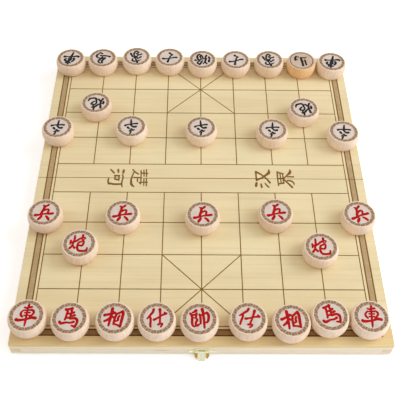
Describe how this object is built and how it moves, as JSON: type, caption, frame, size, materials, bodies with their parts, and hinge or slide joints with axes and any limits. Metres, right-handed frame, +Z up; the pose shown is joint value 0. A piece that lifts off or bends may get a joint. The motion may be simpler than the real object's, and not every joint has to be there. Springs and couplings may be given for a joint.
{
  "type": "xiangqi box",
  "caption": "Folding wooden xiangqi box of two hinged trays that opens flat as its own board, with a brass hasp latch and a full set of turned wooden pieces.",
  "frame": {"origin": "on the table, under the middle of the fold between the two halves", "axes": "+Z up, +X to the right along the fold, +Y from the latch end (red's side) towards black's side"},
  "size_m": [0.3624, 0.4103, 0.0345],
  "materials": {
    "panel_veneer": "satin lacquer",
    "rail_wood": "satin lacquer",
    "piece_wood": "waxed",
    "piece_wood_amber": "waxed",
    "brass": "polished",
    "burnt_wood": "matt, burnt in",
    "red_paint": "semi-gloss paint",
    "black_paint": "semi-gloss paint"
  },
  "bodies": {
    "near_half": {"near_fold_rail": "rail_wood", "near_left_rail": "rail_wood", "near_outer_rail": "rail_wood", "near_panel": "panel_veneer", "near_right_rail": "rail_wood", "hinge_leaf_near_left": "brass", "hinge_leaf_near_right": "brass", "hinge_pin_left": "brass", "hinge_pin_right": "brass", "hinge_screws_near": "brass", "latch_plate": "brass", "latch_pin": "brass", "latch_nails": "brass"},
    "far_half": {"far_fold_rail": "rail_wood", "far_left_rail": "rail_wood", "far_outer_rail": "rail_wood", "far_panel": "panel_veneer", "far_right_rail": "rail_wood", "hinge_leaf_far_left": "brass", "hinge_leaf_far_right": "brass", "hinge_screws_far": "brass", "catch_plate": "brass", "catch_nails": "brass"},
    "hasp": {"latch_hasp": "brass"},
    "red_advisor_left_piece": {"red_advisor_left": "piece_wood"},
    "red_advisor_right_piece": {"red_advisor_right": "piece_wood"},
    "red_cannon_left_piece": {"red_cannon_left": "piece_wood"},
    "red_cannon_right_piece": {"red_cannon_right": "piece_wood"},
    "red_chariot_left_piece": {"red_chariot_left": "piece_wood"},
    "red_chariot_right_piece": {"red_chariot_right": "piece_wood"},
    "red_elephant_left_piece": {"red_elephant_left": "piece_wood"},
    "red_elephant_right_piece": {"red_elephant_right": "piece_wood"},
    "red_general_piece": {"red_general": "piece_wood"},
    "red_horse_left_piece": {"red_horse_left": "piece_wood"},
    "red_horse_right_piece": {"red_horse_right": "piece_wood"},
    "red_soldier_1_piece": {"red_soldier_1": "piece_wood"},
    "red_soldier_2_piece": {"red_soldier_2": "piece_wood"},
    "red_soldier_3_piece": {"red_soldier_3": "piece_wood"},
    "red_soldier_4_piece": {"red_soldier_4": "piece_wood"},
    "red_soldier_5_piece": {"red_soldier_5": "piece_wood"},
    "black_advisor_left_piece": {"black_advisor_left": "piece_wood"},
    "black_advisor_right_piece": {"black_advisor_right": "piece_wood"},
    "black_cannon_left_piece": {"black_cannon_left": "piece_wood"},
    "black_cannon_right_piece": {"black_cannon_right": "piece_wood"},
    "black_chariot_left_piece": {"black_chariot_left": "piece_wood"},
    "black_chariot_right_piece": {"black_chariot_right": "piece_wood"},
    "black_elephant_left_piece": {"black_elephant_left": "piece_wood"},
    "black_elephant_right_piece": {"black_elephant_right": "piece_wood"},
    "black_general_piece": {"black_general": "piece_wood"},
    "black_horse_left_piece": {"black_horse_left": "piece_wood"},
    "black_horse_right_piece": {"black_horse_right": "piece_wood_amber"},
    "black_soldier_1_piece": {"black_soldier_1": "piece_wood"},
    "black_soldier_2_piece": {"black_soldier_2": "piece_wood"},
    "black_soldier_3_piece": {"black_soldier_3": "piece_wood"},
    "black_soldier_4_piece": {"black_soldier_4": "piece_wood"},
    "black_soldier_5_piece": {"black_soldier_5": "piece_wood"}
  },
  "joints": [
    {"name": "fold", "type": "hinge", "parent": "near_half", "child": "far_half", "pos_m": [0, 0, 0.001], "axis": [-1, 0, 0], "range_deg": [0, 180]},
    {"name": "hasp_swing", "type": "hinge", "parent": "near_half", "child": "hasp", "pos_m": [0, -0.2016, 0.0076], "axis": [1, 0, 0], "range_deg": [-115, 36.4]},
    {"name": "red_advisor_left_lift", "type": "slide", "parent": "near_half", "child": "red_advisor_left_piece", "axis": [0, 0, 1], "range_m": [0, 0.05]},
    {"name": "red_advisor_right_lift", "type": "slide", "parent": "near_half", "child": "red_advisor_right_piece", "axis": [0, 0, 1], "range_m": [0, 0.05]},
    {"name": "red_cannon_left_lift", "type": "slide", "parent": "near_half", "child": "red_cannon_left_piece", "axis": [0, 0, 1], "range_m": [0, 0.05]},
    {"name": "red_cannon_right_lift", "type": "slide", "parent": "near_half", "child": "red_cannon_right_piece", "axis": [0, 0, 1], "range_m": [0, 0.05]},
    {"name": "red_chariot_left_lift", "type": "slide", "parent": "near_half", "child": "red_chariot_left_piece", "axis": [0, 0, 1], "range_m": [0, 0.05]},
    {"name": "red_chariot_right_lift", "type": "slide", "parent": "near_half", "child": "red_chariot_right_piece", "axis": [0, 0, 1], "range_m": [0, 0.05]},
    {"name": "red_elephant_left_lift", "type": "slide", "parent": "near_half", "child": "red_elephant_left_piece", "axis": [0, 0, 1], "range_m": [0, 0.05]},
    {"name": "red_elephant_right_lift", "type": "slide", "parent": "near_half", "child": "red_elephant_right_piece", "axis": [0, 0, 1], "range_m": [0, 0.05]},
    {"name": "red_general_lift", "type": "slide", "parent": "near_half", "child": "red_general_piece", "axis": [0, 0, 1], "range_m": [0, 0.05]},
    {"name": "red_horse_left_lift", "type": "slide", "parent": "near_half", "child": "red_horse_left_piece", "axis": [0, 0, 1], "range_m": [0, 0.05]},
    {"name": "red_horse_right_lift", "type": "slide", "parent": "near_half", "child": "red_horse_right_piece", "axis": [0, 0, 1], "range_m": [0, 0.05]},
    {"name": "red_soldier_1_lift", "type": "slide", "parent": "near_half", "child": "red_soldier_1_piece", "axis": [0, 0, 1], "range_m": [0, 0.05]},
    {"name": "red_soldier_2_lift", "type": "slide", "parent": "near_half", "child": "red_soldier_2_piece", "axis": [0, 0, 1], "range_m": [0, 0.05]},
    {"name": "red_soldier_3_lift", "type": "slide", "parent": "near_half", "child": "red_soldier_3_piece", "axis": [0, 0, 1], "range_m": [0, 0.05]},
    {"name": "red_soldier_4_lift", "type": "slide", "parent": "near_half", "child": "red_soldier_4_piece", "axis": [0, 0, 1], "range_m": [0, 0.05]},
    {"name": "red_soldier_5_lift", "type": "slide", "parent": "near_half", "child": "red_soldier_5_piece", "axis": [0, 0, 1], "range_m": [0, 0.05]},
    {"name": "black_advisor_left_lift", "type": "slide", "parent": "far_half", "child": "black_advisor_left_piece", "axis": [0, 0, 1], "range_m": [0, 0.05]},
    {"name": "black_advisor_right_lift", "type": "slide", "parent": "far_half", "child": "black_advisor_right_piece", "axis": [0, 0, 1], "range_m": [0, 0.05]},
    {"name": "black_cannon_left_lift", "type": "slide", "parent": "far_half", "child": "black_cannon_left_piece", "axis": [0, 0, 1], "range_m": [0, 0.05]},
    {"name": "black_cannon_right_lift", "type": "slide", "parent": "far_half", "child": "black_cannon_right_piece", "axis": [0, 0, 1], "range_m": [0, 0.05]},
    {"name": "black_chariot_left_lift", "type": "slide", "parent": "far_half", "child": "black_chariot_left_piece", "axis": [0, 0, 1], "range_m": [0, 0.05]},
    {"name": "black_chariot_right_lift", "type": "slide", "parent": "far_half", "child": "black_chariot_right_piece", "axis": [0, 0, 1], "range_m": [0, 0.05]},
    {"name": "black_elephant_left_lift", "type": "slide", "parent": "far_half", "child": "black_elephant_left_piece", "axis": [0, 0, 1], "range_m": [0, 0.05]},
    {"name": "black_elephant_right_lift", "type": "slide", "parent": "far_half", "child": "black_elephant_right_piece", "axis": [0, 0, 1], "range_m": [0, 0.05]},
    {"name": "black_general_lift", "type": "slide", "parent": "far_half", "child": "black_general_piece", "axis": [0, 0, 1], "range_m": [0, 0.05]},
    {"name": "black_horse_left_lift", "type": "slide", "parent": "far_half", "child": "black_horse_left_piece", "axis": [0, 0, 1], "range_m": [0, 0.05]},
    {"name": "black_horse_right_lift", "type": "slide", "parent": "far_half", "child": "black_horse_right_piece", "axis": [0, 0, 1], "range_m": [0, 0.05]},
    {"name": "black_soldier_1_lift", "type": "slide", "parent": "far_half", "child": "black_soldier_1_piece", "axis": [0, 0, 1], "range_m": [0, 0.05]},
    {"name": "black_soldier_2_lift", "type": "slide", "parent": "far_half", "child": "black_soldier_2_piece", "axis": [0, 0, 1], "range_m": [0, 0.05]},
    {"name": "black_soldier_3_lift", "type": "slide", "parent": "far_half", "child": "black_soldier_3_piece", "axis": [0, 0, 1], "range_m": [0, 0.05]},
    {"name": "black_soldier_4_lift", "type": "slide", "parent": "far_half", "child": "black_soldier_4_piece", "axis": [0, 0, 1], "range_m": [0, 0.05]},
    {"name": "black_soldier_5_lift", "type": "slide", "parent": "far_half", "child": "black_soldier_5_piece", "axis": [0, 0, 1], "range_m": [0, 0.05]}
  ]
}
